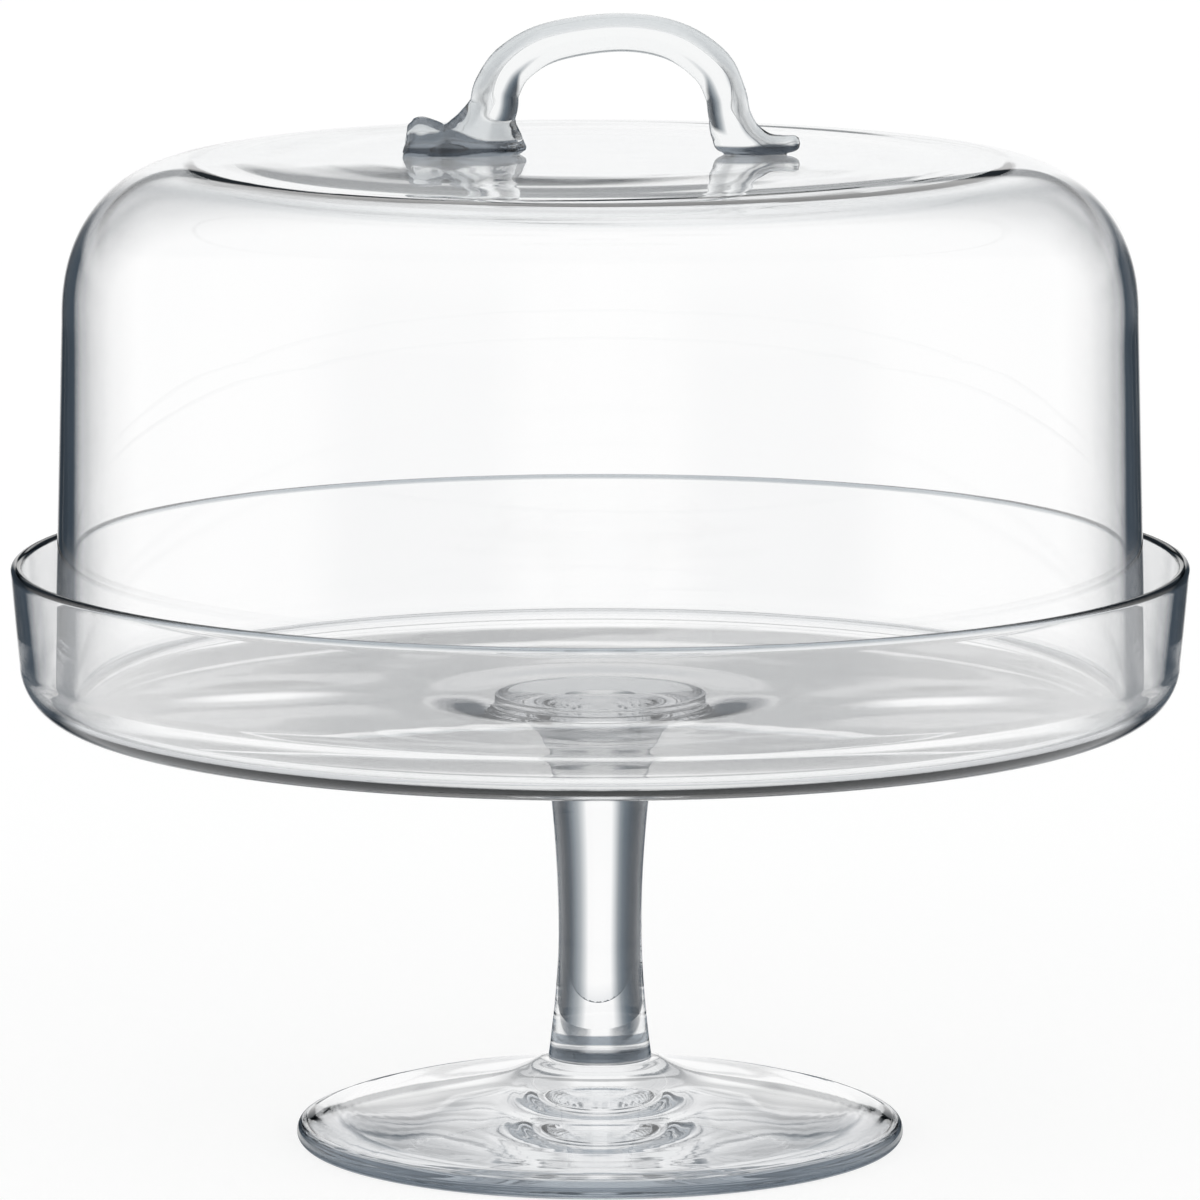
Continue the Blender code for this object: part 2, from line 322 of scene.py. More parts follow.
def tray_profile():
    """Floor, inner corner, wall, half-round rim, wall, outer corner and underside."""
    rim = TRAY_RIM_T / 2
    floor = line((0, tray_floor), (tray_flat_r, tray_floor), 110)
    fillet = arc((tray_flat_r, tray_floor + TRAY_FILLET_R), TRAY_FILLET_R, -90, 0, 20)
    bead = arc((tray_r - rim, tray_z1 - rim), rim, 180, 0, 24)
    turn_at = (tray_corner_r - TRAY_CORNER_R, tray_under + TRAY_CORNER_R)
    corner = arc(turn_at, TRAY_CORNER_R, 0, -90, 26)
    inside = line(fillet[-1], bead[0], 24)
    outside = line(bead[-1], corner[0], 24)
    under = line(corner[-1], (TRAY_GATHER_R, tray_under), 60)
    t = np.linspace(0, math.pi, 16)
    gather = np.c_[np.linspace(TRAY_GATHER_R, stem_r, 16), tray_z0 + TRAY_SAG * (1 + np.cos(t)) / 2]
    middle = line(gather[-1], (0, tray_z0), 20)
    return profile_of(floor, fillet, inside, bead, outside, corner, under, gather, middle)


def tray_uneven(r, z, turn, along):
    """Turning rings and two tongues on the floor, a slow wander of the rim and of the underside.

    A tongue is a slope -s v exp(-(u / a)^2 - (v / b)^2), u and v being the way from its middle.
    """
    on_floor = (along < TRAY_UPPER_HALF) & (z < tray_floor + CLOSE)
    fade = way(r, tray_flat_r, tray_flat_r - 18 * MM) ** 2 * way(r, 0, 12 * MM)
    bend = waves(turn, 0 * along, (1, 2, 3, 5), 1.1)
    level = ripples(r, *TRAY_RINGS, 0.3 * bend) + TRAY_WANDER * waves(turn, r / (30 * MM), (1, 2, 3), 0.6)
    x, y = r * np.cos(turn), r * np.sin(turn)
    for side, at in TRAY_TONGUES:
        u, v = x - side, y - at - TRAY_TONGUE_SKEW * (x - side)
        lobe = np.exp(-(u / TRAY_TONGUE_SIZE[0]) ** 2 - (v / TRAY_TONGUE_SIZE[1]) ** 2)
        level = level - TRAY_TONGUE_SLOPE * v * lobe
    up = way(z, tray_under + TRAY_CORNER_R, tray_z1)
    rim = -TRAY_RIM_WANDER * up**2 * (1 + waves(turn, 0 * along, (2, 3, 5), 0.4)) / 2
    below = ~on_floor & (z < tray_under + CLOSE) & (r > stem_r)
    sag = TRAY_UNDER_WANDER * waves(turn, r / (24 * MM), (2, 3, 4), 1.9) * way(r, stem_r, stem_r + 8 * MM)
    dz = np.where(on_floor, fade * level, np.where(below, sag, rim))
    return np.where(on_floor | below, 0, rim), dz


glass_tray = turned_glass("glass_tray", tray_profile(), 256, tray_uneven)


# %% [markdown]
# ## Dome
# A blown bubble opened into a cover: almost flat top, wide shoulder, side drawn
# in a little going up, thickest at the lip. The shoulder is a superellipse, which
# is a touch squarer than a circle. The top is crowned by a millimetre and bent a
# little like a saddle, and its wall steps down at the edge: the eye sees none of
# that as form, but it bends the light into the grey crescent on the top.

# %% Dome shell
DOME_LEAN = 2.5 * MM
DOME_SHOULDER_W = 42.0 * MM
DOME_SHOULDER_H = 41.3 * MM
DOME_SHOULDER_POWER = 2.3
DOME_BASE_T = 4.4 * MM
DOME_SIDE_T = 3.2 * MM
DOME_TWIST = 0.15               # the top is a little saddle shaped: height by x times y, per metre
DOME_STEP = 0.12 * MM           # the wall thins by this at the edge of the top
DOME_STEP_R = (102.0 * MM, 105.0 * MM)
DOME_CROWN = 1.1 * MM           # the top falls this much towards the shoulder
DOME_CROWN_END = 30.0 * MM      # and the shoulder takes it up over this width
DOME_CROWN_POWER = 3.5
DOME_WANDER = (0.10, 0.16)      # of the outside and of the inside, in millimetres
DOME_TOP_WANDER = 0.10 * MM
DOME_TOP_INSIDE = 0.6           # the inside of the top follows it this far
DOME_TOP_H = 6 * MM             # a point this near to the highest is on the top
dome_side_r = dome_r - DOME_LEAN
dome_flat_r = dome_side_r - DOME_SHOULDER_W


def dome_outside():
    """Crowned top, then a quarter of |x/a|^n + |z/b|^n = 1 down to the side."""
    t = np.linspace(0, math.pi / 2, 64)
    across = np.sin(t) ** (2 / DOME_SHOULDER_POWER)
    up = np.maximum(np.cos(t), 0) ** (2 / DOME_SHOULDER_POWER)
    shoulder = np.c_[dome_flat_r + DOME_SHOULDER_W * across, dome_z1 - DOME_SHOULDER_H * (1 - up)]
    p = profile_of(line((0, dome_z1), shoulder[0], 60), shoulder)
    end = way(p[:, 0], dome_flat_r, dome_flat_r + DOME_CROWN_END)
    fall = np.minimum(p[:, 0] / dome_flat_r, 1) ** DOME_CROWN_POWER * (1 - soft(end))
    p[:, 1] -= DOME_CROWN * fall
    return p


def dome_profile():
    """Outside going down, half-round lip, then back up inside, a wall's thickness from the outside."""
    out = dome_outside()
    along = np.gradient(out, axis=0)
    along /= np.linalg.norm(along, axis=1)[:, None]
    wall = DOME_SIDE_T + DOME_STEP * (1 - way(out[:, 0], *DOME_STEP_R))
    back = (out + np.c_[along[:, 1], -along[:, 0]] * wall[:, None])[::-1]
    back[:, 0] = np.maximum(back[:, 0], 0)
    lip = DOME_BASE_T / 2
    base = arc((dome_r - lip, dome_z0 + lip), lip, 0, -180, 24)
    return profile_of(out, line(out[-1], base[0], 30), base, line(base[-1], back[0], 30), back)


def dome_uneven(r, z, turn, along):
    """Inside and outside wander apart by a few tenths; the top dips and bends by -k x y."""
    inside = along > 0.5
    side = way(z, dome_z0 + 5 * MM, dome_z0 + 25 * MM) * way(r, 30 * MM, 60 * MM)
    outer = DOME_WANDER[0] * waves(turn, 2 * along, (2, 3), 0.5)
    inner = DOME_WANDER[1] * waves(turn, 3 * along, (2, 3, 5), 1.7)
    on_top = z > dome_z1 - DOME_TOP_H
    flat = way(r, 52 * MM, 72 * MM) * way(r, dome_flat_r + 10 * MM, dome_flat_r - 10 * MM)
    top = -DOME_TOP_WANDER * (1 + waves(turn, r / (9 * MM), (1, 2, 3), 0.8)) * flat * on_top
    inward = way(r, dome_flat_r + 16 * MM, dome_flat_r - 4 * MM)
    twist = -DOME_TWIST * r**2 * np.cos(turn) * np.sin(turn) * soft(inward) * on_top
    dr = MM * side * np.where(inside, inner, outer)
    return dr, top * np.where(inside, DOME_TOP_INSIDE, 1) + twist


glass_dome = turned_glass("glass_dome", dome_profile(), 288, dome_uneven)


# %% [markdown]
# ## Handle
# One solid rod, set down hot at one side as a thick pad, bent over in a loop
# and drawn off at the other side into a thin tail. It is a round section of
# changing radius carried along a path in the XZ plane. Where it meets the dome
# the hot glass sank and spread: low points drop onto the dome and move outwards.

# %% Handle
HANDLE_PATH = (                 # across, up from the dome top, rod radius, in millimetres
    (-48.0, 4.8, 1.4), (-47.4, 4.9, 3.5), (-46.0, 4.8, 4.8), (-43.0, 3.9, 4.9), (-39.5, 3.0, 4.6),
    (-35.5, 3.7, 5.5), (-31.0, 6.4, 6.2), (-27.2, 11.2, 6.2), (-26.0, 16.6, 5.9), (-21.8, 23.0, 5.5),
    (-12.4, 28.3, 5.1), (4.5, 30.8, 4.9), (18.2, 28.8, 5.0), (27.8, 22.6, 5.3), (31.6, 15.5, 5.2),
    (33.0, 9.2, 5.3), (36.4, 4.8, 4.6), (41.6, 2.6, 3.1), (46.2, 2.7, 2.1), (49.4, 3.3, 1.5),
    (50.4, 3.6, 0.6),
)
PAD_MIDDLE = -34.0 * MM         # the pad spreads about this place
PAD_H = 9.0 * MM
PAD_SPREAD = (0.22, 0.7)        # along and across the handle, at the dome
PAD_TOE = 1.3                   # extra spread under the loop
PAD_FADE = 1.5                  # power by which the spread dies out going up
TAIL_MIDDLE = 39.1 * MM         # the same for the tail, which only spreads under the loop
TAIL_TOE = 0.5
SLUMP_H = 3.6 * MM              # hot glass lower than this sank onto the dome
SETTLED_H = 0.2 * MM            # and lower than this it is fused to it
handle_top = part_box("dome_handle")[1][2]


def swept_rod(name, path, sides, seat):
    """Rings of radius r round each path point, square to the path, slumped and spread at the seat."""
    x, z, radius = through(path, 160).T * MM
    dx, dz = np.gradient(x), np.gradient(z)
    length = np.hypot(dx, dz)
    nx, nz = (-dz / length)[:, None], (dx / length)[:, None]
    a = np.linspace(0, 2 * math.pi, sides, endpoint=False)[None, :]
    r = radius[:, None]
    ring_z = seat + z[:, None] + r * np.cos(a) * nz
    rings = np.stack([x[:, None] + r * np.cos(a) * nx, r * np.sin(a) + 0 * nx, ring_z], axis=-1)
    height = np.maximum(rings[..., 2] - seat, -FUSED)
    height *= np.clip(np.abs(height) / SLUMP_H, 0, 1)
    pad = rings[..., 0] < 0
    down = way(height, PAD_H, 0) ** PAD_FADE
    off = rings[..., 0] - np.where(pad, PAD_MIDDLE, TAIL_MIDDLE)
    toe = np.where(pad, PAD_TOE * (off > 0), TAIL_TOE * (off < 0))
    rings[..., 0] += down * off * (toe + PAD_SPREAD[0] * (pad & (off < 0)))
    rings[..., 1] *= 1 + PAD_SPREAD[1] * down * pad
    height = np.where(height < SETTLED_H, -FUSED, height)
    rings[..., 2] = np.minimum(seat + height, handle_top)
    return closed_tube(name, rings, rings[0].mean(axis=0), rings[-1].mean(axis=0))


glass_handle = swept_rod("glass_handle", HANDLE_PATH, 72, dome_z1)


# %% [markdown]
# ## Glass
# Soda-lime glass, blown and fire polished: refractive index about 1.52, hardly
# any colour through a thin wall, and grey where the eye looks along the wall. That
# colour sits in the volume. The surface has a tone by place: at the foot's edge, the
# stem's base, the tray's rim, the dome's lip and top and the handle's pad it is darker,
# painted shade for the dark bands that light draws there in glass. It is smooth, with a
# faint wander that bends reflections and traces of handling that dull it here and
# there. Blown and pressed walls are quite sharp, and glass worked by hand a trace softer.

# %% Colours and nodes
def srgb(code):
    """Linear colour with alpha from an sRGB hex code."""
    c = np.array([int(code[i:i + 2], 16) for i in (0, 2, 4)]) / 255
    c = np.where(c <= 0.04045, c / 12.92, ((c + 0.055) / 1.055) ** 2.4)
    return (*c.tolist(), 1.0)


def add_node(tree, kind, settings=None, links=None):
    """Add a node, set its properties, sockets or ramp stops by name, and link it to other nodes' outputs."""
    node = tree.nodes.new(kind)
    for key, value in (settings or {}).items():
        if key == "stops":
            ramp = node.color_ramp.elements
            ramp.remove(ramp[1])
            for n, (place, colour) in enumerate(value):
                stop = ramp.new(place) if n else ramp[0]
                stop.position = place
                stop.color = colour
        elif isinstance(key, str) and hasattr(node, key):
            setattr(node, key, value)
        else:
            node.inputs[key].default_value = value
    for key, (source, out) in (links or {}).items():
        tree.links.new(source.outputs[out], node.inputs[key])
    return node


def bare_tree(holder):
    """The node tree of a new material or world, emptied."""
    holder.use_nodes = True
    holder.node_tree.nodes.clear()
    return holder.node_tree


def tones_by(tree, source, stops, unit, span=None):
    """Tone by a measure: a stop for each place, over the span or from the first place to the last."""
    low, high = span or (stops[0][0], stops[-1][0])
    share = add_node(tree, "ShaderNodeMapRange", {"From Min": low * unit, "From Max": high * unit},
                     {"Value": source})
    places = [(at - low) / (high - low) for at, tone in stops]
    colours = [srgb(tone) if isinstance(tone, str) else (tone, tone, tone, 1.0) for at, tone in stops]
    return add_node(tree, "ShaderNodeValToRGB", {"stops": list(zip(places, colours))}, {"Fac": (share, 0)})


# %% Blown glass
GLASS_IOR = 1.52
GLASS_DEPTH = "e2e4e6"          # what thick glass lets through
GLASS_DENSITY = 5.0             # per metre
WANDER_W = 24 * MM              # width of the faint wander of the surface
WANDER_BUMP = (0.05, 0.3 * MM)  # its strength and its height
TRACE_W = 11 * MM               # size of the traces of handling
TRACE_NOISE = (0.45, 0.8)       # the noise they begin and end at
POLISHED = (0.0, 0.003)         # roughness of blown and pressed walls, sharp all over
WORKED = (0.012, 0.022)         # roughness where the glass was drawn or set on hot


def blown_glass(name, measure, tones, skin):
    """Clear glass with a tone for each place, in millimetres out from the axis or up from the floor; its
    darker tones are painted shade.
    """
    mat = bpy.data.materials.new(name)
    tree = bare_tree(mat)
    place = add_node(tree, "ShaderNodeTexCoord")
    flat = add_node(tree, "ShaderNodeVectorMath", {"operation": "MULTIPLY", 1: measure},
                    {0: (place, "Object")})
    far = add_node(tree, "ShaderNodeVectorMath", {"operation": "LENGTH"}, {0: (flat, 0)})
    # the darker tones by place are painted shade
    tone = tones_by(tree, (far, 1), tones, MM)
    wander = add_node(tree, "ShaderNodeTexNoise", {"Scale": 1 / WANDER_W, "Detail": 1.0},
                      {"Vector": (place, "Object")})
    bump = add_node(tree, "ShaderNodeBump", {"Strength": WANDER_BUMP[0], "Distance": WANDER_BUMP[1]},
                    {"Height": (wander, 0)})
    traces = add_node(tree, "ShaderNodeTexNoise", {"Scale": 1 / TRACE_W, "Detail": 5.0},
                      {"Vector": (place, "Object")})
    dull = add_node(tree, "ShaderNodeMapRange",
                    {"From Min": TRACE_NOISE[0], "From Max": TRACE_NOISE[1],
                     "To Min": skin[0], "To Max": skin[1]}, {"Value": (traces, 0)})
    shader = add_node(tree, "ShaderNodeBsdfPrincipled", {"IOR": GLASS_IOR, "Transmission Weight": 1.0},
                      {"Base Color": (tone, 0), "Roughness": (dull, 0), "Normal": (bump, 0)})
    inside = add_node(tree, "ShaderNodeVolumeAbsorption",
                      {"Color": srgb(GLASS_DEPTH), "Density": GLASS_DENSITY})
    add_node(tree, "ShaderNodeOutputMaterial", None, {"Surface": (shader, 0), "Volume": (inside, 0)})
    return mat


# %% Five glasses
OUT, UP = (1, 1, 0), (0, 0, 1)
# the two greys after clear glass are painted shade, for the foot's edge and the stem's base
CLEAR, PAINTED_EDGE_SHADE, PAINTED_BASE_SHADE = "ffffff", "7d8893", "58636e"
# painted shade on the tray's rim and on the dome's lip and top
PAINTED_RIM_SHADE, PAINTED_LIP_SHADE, PAINTED_TOP_SHADE = "929ba3", "f0f2f2", "eef0f1"
# painted shade at the handle's pad, then the loop's near-clear tone
PAINTED_PAD_SHADE, LOOP = "3c444d", "f8f9f9"
base = stem_z0 / MM
seat = dome_z1 / MM
# painted shade: the foot's outer edge, from about 77 mm out, is darkened
foot_glass = blown_glass(
    "soda_lime_glass_spun", OUT, ((0, CLEAR), (76.4, CLEAR), (77.0, PAINTED_EDGE_SHADE), (78, PAINTED_EDGE_SHADE)), WORKED)
# painted shade: a dark band over the lowest 3 mm of the stem, just above its fused base
stem_glass = blown_glass(
    "soda_lime_glass_drawn", UP,
    ((base - 1, CLEAR), (base + 0.1, CLEAR), (base + 0.4, PAINTED_BASE_SHADE), (base + 2.8, PAINTED_BASE_SHADE), (base + 3.2, CLEAR),
     (base + 9, CLEAR)), WORKED)
# painted shade: the top of the rim is darkened
tray_glass = blown_glass(
    "soda_lime_glass_pressed", UP, ((100, CLEAR), (149.2, CLEAR), (149.7, PAINTED_RIM_SHADE), (152, PAINTED_RIM_SHADE)), POLISHED)
# painted shade: the lip is a little darker at the bottom, and the flat top a little darker above
dome_glass = blown_glass(
    "soda_lime_glass_blown", UP,
    ((110, PAINTED_LIP_SHADE), (118, CLEAR), (247, CLEAR), (250.5, PAINTED_TOP_SHADE), (256, PAINTED_TOP_SHADE)), POLISHED)
# painted shade: the pad's lowest 2 mm, where the handle meets the dome, is dark grey
handle_glass = blown_glass(
    "soda_lime_glass_applied", UP,
    ((seat - 1, PAINTED_PAD_SHADE), (seat + 2.0, PAINTED_PAD_SHADE), (seat + 2.5, LOOP), (seat + 9, LOOP)), WORKED)

# %% Put the pieces in the frame
for piece, node, body, mat in (
    (glass_foot, "foot", "stand", foot_glass),
    (glass_stem, "stem", "stand", stem_glass),
    (glass_tray, "tray", "stand", tray_glass),
    (glass_dome, "dome_shell", "dome", dome_glass),
    (glass_handle, "dome_handle", "dome", handle_glass),
):
    piece.data.materials.append(mat)
    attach(piece, body)
    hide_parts(node)
    print(f"{piece.name}: {mat.name}, rides on {body}")


# %% [markdown]
# ## Floor
# A plain pale table. Seen directly it is white paper; the glass looks past it
# at the studio round it, so the floor is hidden from light bent by the glass.
# It lies a hair below the foot's ring.

# %% Floor
FLOOR_R = 7.0
FLOOR_Z = -0.2 * MM
FIBRE = 3 * MM                  # coarser than real paper fibre, so that it shows at all
PAPER = ("90908f", "949493")
PAPER_GLOW = 0.8


def disc(name, radius, height, rows, around):
    """Flat disc at a height, of rings at radius * (i / rows) about the axis."""
    turn = np.linspace(0, 2 * math.pi, around, endpoint=False)[None, :]
    r = radius * np.linspace(1 / rows, 1, rows)[:, None]
    rings = np.stack([r * np.cos(turn), r * np.sin(turn), height + 0 * r * turn], axis=-1)
    verts = np.vstack([rings.reshape(-1, 3), (0, 0, height)])
    j = np.arange(around)
    middle = np.c_[np.full(around, rows * around), j, (j + 1) % around]
    mesh = bpy.data.meshes.new(name)
    mesh.from_pydata(verts.tolist(), [], grid_faces(rows, around).tolist() + middle.tolist())
    obj = bpy.data.objects.new(name, mesh)
    scene.collection.objects.link(obj)
    return obj


def white_paper(name):
    """Matt paper that glows a little, so that it is white and keeps a soft shadow."""
    mat = bpy.data.materials.new(name)
    tree = bare_tree(mat)
    place = add_node(tree, "ShaderNodeTexCoord")
    fibre = add_node(tree, "ShaderNodeTexNoise", {"Scale": 1 / FIBRE, "Detail": 3.0},
                     {"Vector": (place, "Object")})
    tone = add_node(tree, "ShaderNodeValToRGB",
                    {"stops": ((0.0, srgb(PAPER[0])), (1.0, srgb(PAPER[1])))}, {"Fac": (fibre, 0)})
    matt = add_node(tree, "ShaderNodeBsdfDiffuse", {"Roughness": 0.5}, {"Color": (tone, 0)})
    glow = add_node(tree, "ShaderNodeEmission", {"Color": srgb("ffffff"), "Strength": PAPER_GLOW})
    both = add_node(tree, "ShaderNodeAddShader", None, {0: (matt, 0), 1: (glow, 0)})
    add_node(tree, "ShaderNodeOutputMaterial", None, {"Surface": (both, 0)})
    return mat


floor = disc("floor", FLOOR_R, FLOOR_Z, 8, 96)
floor.data.materials.append(white_paper("white_paper"))
floor.visible_transmission = False
floor.visible_glossy = False
print(f"floor: {FLOOR_R:.0f} m in radius")


# %% [markdown]
# ## Light
# Glass has no colour of its own to light. What shows it is what stands round it:
# a white wall behind, white soft boxes at the sides, and dark screens in the
# corners between them, which draw the edges. Lamps and cards could do it, but they
# would stand in the way of other views, so the studio is the world: its brightness
# is set by direction, by the turn from straight behind and by the height.
# A photographer moves the screens until each piece looks right. Here the light's
# path tells what it has passed. Thick worked glass sees the screens in full. Light
# through the thin walls of dome and tray sees little of them, so that they stay
# clear from every side. Mirrored light sees screens of its own and a grey shelf
# above the wall, which makes the grey patch on the tray's floor.

# %% Screens and heights
ROUND = (                       # degrees from straight behind, clockwise from above, and tone
    (-180, "ffffff"), (-166, "ffffff"), (-155, "dcdee0"), (-125, "dcdee0"), (-112, "ffffff"), (-80, "ffffff"),
    (-76, "a0a6ab"), (-72, "303d49"), (-40, "1d2832"), (-30, "303d49"), (-23, "54616c"), (-18, "888f95"),
    (-14, "cdd0d3"), (-10, "ffffff"), (11, "ffffff"), (15, "d4d7d9"), (20, "a2a8ad"), (27, "6c757d"),
    (33, "303d49"), (40, "1d2832"), (72, "303d49"), (76, "a0a6ab"), (80, "ffffff"), (112, "ffffff"),
    (125, "dcdee0"), (155, "dcdee0"), (166, "ffffff"), (180, "ffffff"),
)
MIRRORED = (                    # the same round as mirrors see it: narrower screens
    (-180, "ffffff"), (-166, "ffffff"), (-155, "dcdee0"), (-125, "dcdee0"), (-112, "ffffff"), (-52, "ffffff"),
    (-30, "434d57"), (-13, "434d57"), (-7, "ffffff"), (7, "ffffff"), (13, "434d57"), (30, "434d57"),
    (52, "ffffff"), (112, "ffffff"), (125, "dcdee0"), (155, "dcdee0"), (166, "ffffff"), (180, "ffffff"),
)
# how much of the screens shows at each height, in degrees above level
SCREEN_SHARE = ((-90, 0.0), (-26, 0.0), (-20, 1.0), (7, 1.0), (13, 0.0), (90, 0.0))
MIRRORED_SHARE = ((-90, 0.0), (-26, 0.0), (-20, 1.0), (30, 1.0), (55, 0.0), (90, 0.0))
HEIGHTS = (                     # degrees above level and tone
    (-90, "868c91"), (-64, "9da3a7"), (-44, "dfe1e3"), (-16.5, "e6e8ea"), (-15, "ffffff"), (44, "ffffff"),
    (52, "777d82"), (64, "8a9094"), (74, "d8dadc"), (90, "d8dadc"),
)
THIN_HEIGHTS = (                # the same through two or more walls: a paler floor
    (-90, "e2e4e6"), (-44, "eceeef"), (-16.5, "e6e8ea"), (-15, "ffffff"), (44, "ffffff"),
    (52, "777d82"), (64, "8a9094"), (74, "d8dadc"), (90, "d8dadc"),
)
MIRRORED_HEIGHTS = ((-90, "dfe1e3"), (-16.5, "e6e8ea"), (-15, "ffffff"), (90, "ffffff"))
THIN_SHARE = 0.08               # how much of the screens light through thin walls still sees
RAISED_SHARE = 0.3              # and mirrored light that the foot throws up
SHELF_SOLID = 0.5               # how much of the shelf mirrored light in solid glass sees
SOLID = (2.0, 1.5)              # solid glass is passed by two surfaces, give or take one
WALLS = (3.0, 4.0)              # two walls are four surfaces
FALLING = (-3, -5)              # degrees above level, from none to all
RISING = (1, 4)
BEHIND = (0.75, 0.95)           # how nearly straight behind, as a cosine, from none to all
DEGREE = math.radians(1)
SHELF = (                       # a grey shelf above the wall, which only mirrors see
    (-90, "ffffff"), (8.1, "ffffff"), (8.4, "343a3f"), (11.2, "343a3f"), (12.6, "ffffff"), (90, "ffffff"),
)


# %% Studio
def light_kinds(tree, path):
    """Whether light was mirrored, passed solid glass, or passed two walls, each 0 or 1."""
    bounced = add_node(tree, "ShaderNodeMapRange", None, {"Value": (path, "Glossy Depth")})
    solid = add_node(tree, "ShaderNodeMath", {"operation": "COMPARE", 1: SOLID[0], 2: SOLID[1]},
                     {0: (path, "Transmission Depth")})
    walled = add_node(tree, "ShaderNodeMapRange", {"From Min": WALLS[0], "From Max": WALLS[1]},
                      {"Value": (path, "Transmission Depth")})
    return bounced, solid, walled


def screens_seen(tree, path, above, bounced, solid, walled):
    """Share of the screens: little straight through thin walls, less where the foot throws light up."""
    sharp = add_node(tree, "ShaderNodeMath", {"operation": "MAXIMUM"},
                     {0: (walled, 0), 1: (path, "Is Singular Ray")})
    straight = add_node(tree, "ShaderNodeMath", {"operation": "SUBTRACT"}, {0: (sharp, 0), 1: (bounced, 0)})
    falling = add_node(tree, "ShaderNodeMapRange",
                       {"From Min": FALLING[0] * DEGREE, "From Max": FALLING[1] * DEGREE},
                       {"Value": (above, 0)})
    clear = add_node(tree, "ShaderNodeMath", {"operation": "MULTIPLY"}, {0: (straight, 0), 1: (falling, 0)})
    thin = add_node(tree, "ShaderNodeMapRange", {"To Min": 1.0, "To Max": THIN_SHARE}, {"Value": (clear, 0)})
    rising = add_node(tree, "ShaderNodeMapRange",
                      {"From Min": RISING[0] * DEGREE, "From Max": RISING[1] * DEGREE},
                      {"Value": (above, 0)})
    turned = add_node(tree, "ShaderNodeMath", {"operation": "MULTIPLY"}, {0: (solid, 0), 1: (bounced, 0)})
    raised = add_node(tree, "ShaderNodeMath", {"operation": "MULTIPLY"}, {0: (turned, 0), 1: (rising, 0)})
    eased = add_node(tree, "ShaderNodeMapRange", {"To Min": 1.0, "To Max": RAISED_SHARE},
                     {"Value": (raised, 0)})
    return add_node(tree, "ShaderNodeMath", {"operation": "MULTIPLY"}, {0: (thin, 0), 1: (eased, 0)})


def studio(name):
    """World by direction: screens by turn, times tones by height, times the shelf for mirrored light."""
    white = srgb("ffffff")
    world = bpy.data.worlds.new(name)
    tree = bare_tree(world)
    place = add_node(tree, "ShaderNodeTexCoord")
    part = add_node(tree, "ShaderNodeSeparateXYZ", None, {0: (place, "Generated")})
    aside = add_node(tree, "ShaderNodeMath", {"operation": "ARCTAN2"}, {0: (part, 0), 1: (part, 1)})
    above = add_node(tree, "ShaderNodeMath", {"operation": "ARCSINE"}, {0: (part, 2)})
    path = add_node(tree, "ShaderNodeLightPath")
    bounced, solid, walled = light_kinds(tree, path)
    around = [tones_by(tree, (aside, 0), stops, DEGREE) for stops in (ROUND, MIRRORED)]
    shares = [tones_by(tree, (above, 0), stops, DEGREE) for stops in (SCREEN_SHARE, MIRRORED_SHARE)]
    levels = [tones_by(tree, (above, 0), stops, DEGREE)
              for stops in (HEIGHTS, THIN_HEIGHTS, MIRRORED_HEIGHTS)]

    share = add_node(tree, "ShaderNodeMix", {"data_type": "RGBA"},
                     {0: (bounced, 0), 6: (shares[0], 0), 7: (shares[1], 0)})
    ring = add_node(tree, "ShaderNodeMix", {"data_type": "RGBA"},
                    {0: (bounced, 0), 6: (around[0], 0), 7: (around[1], 0)})
    kept = screens_seen(tree, path, above, bounced, solid, walled)
    hung = add_node(tree, "ShaderNodeMath", {"operation": "MULTIPLY"}, {0: (share, 2), 1: (kept, 0)})
    room = add_node(tree, "ShaderNodeMix", {"data_type": "RGBA", 6: white}, {0: (hung, 0), 7: (ring, 2)})

    passed = add_node(tree, "ShaderNodeMix", {"data_type": "RGBA"},
                      {0: (walled, 0), 6: (levels[0], 0), 7: (levels[1], 0)})
    heights = add_node(tree, "ShaderNodeMix", {"data_type": "RGBA"},
                       {0: (bounced, 0), 6: (passed, 2), 7: (levels[2], 0)})
    low = add_node(tree, "ShaderNodeMix", {"data_type": "RGBA", "blend_type": "MULTIPLY", 0: 1.0},
                   {6: (room, 2), 7: (heights, 2)})

    behind = add_node(tree, "ShaderNodeMapRange", {"From Min": BEHIND[0], "From Max": BEHIND[1]},
                      {"Value": (part, 1)})
    hollow = add_node(tree, "ShaderNodeMapRange", {"To Min": 1.0, "To Max": SHELF_SOLID},
                      {"Value": (solid, 0)})
    shown = add_node(tree, "ShaderNodeMath", {"operation": "MULTIPLY"}, {0: (bounced, 0), 1: (hollow, 0)})
    mirrored = add_node(tree, "ShaderNodeMath", {"operation": "MULTIPLY"}, {0: (behind, 0), 1: (shown, 0)})
    lit = add_node(tree, "ShaderNodeMix", {"data_type": "RGBA", "blend_type": "MULTIPLY"},
                   {0: (mirrored, 0), 6: (low, 2), 7: (tones_by(tree, (above, 0), SHELF, DEGREE), 0)})
    seen = add_node(tree, "ShaderNodeMix", {"data_type": "RGBA", 7: white},
                    {0: (path, "Is Camera Ray"), 6: (lit, 2)})
    light = add_node(tree, "ShaderNodeBackground", {"Strength": 1.0}, {"Color": (seen, 2)})
    add_node(tree, "ShaderNodeOutputWorld", None, {"Surface": (light, 0)})
    print(f"{name}: {len(tree.nodes)} nodes")
    return world


scene.world = studio("studio")
scene.cycles.max_bounces = 32
scene.cycles.transmission_bounces = 32
scene.cycles.glossy_bounces = 16

